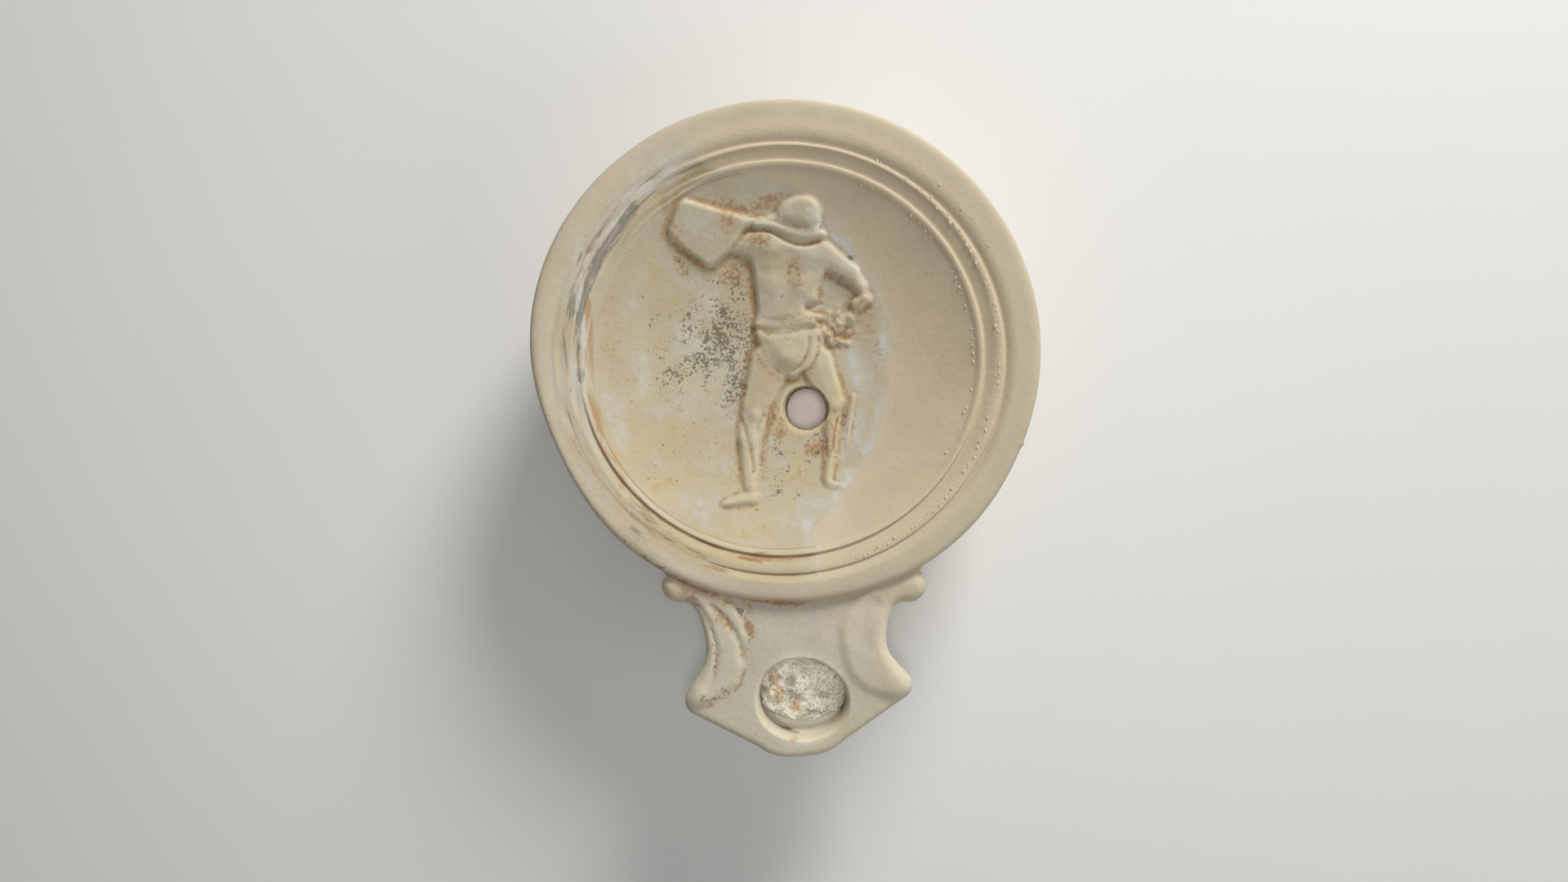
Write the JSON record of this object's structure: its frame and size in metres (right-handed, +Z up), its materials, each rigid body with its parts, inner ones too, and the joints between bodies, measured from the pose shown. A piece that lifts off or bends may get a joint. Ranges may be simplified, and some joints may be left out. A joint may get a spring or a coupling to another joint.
{
  "type": "oil lamp",
  "caption": "Round closed clay oil lamp with a sunk relief discus, a filling hole and a volute nozzle with a wick hole.",
  "frame": {"origin": "centre of the body's outline on the underside of the flat base", "axes": "+Z up, -Y out along the nozzle, +X to the right as seen from above with the nozzle towards the viewer"},
  "size_m": [0.0778, 0.1, 0.026],
  "materials": {
    "clay": "matte"
  },
  "bodies": {
    "root": {"lamp": "clay"}
  },
  "joints": []
}
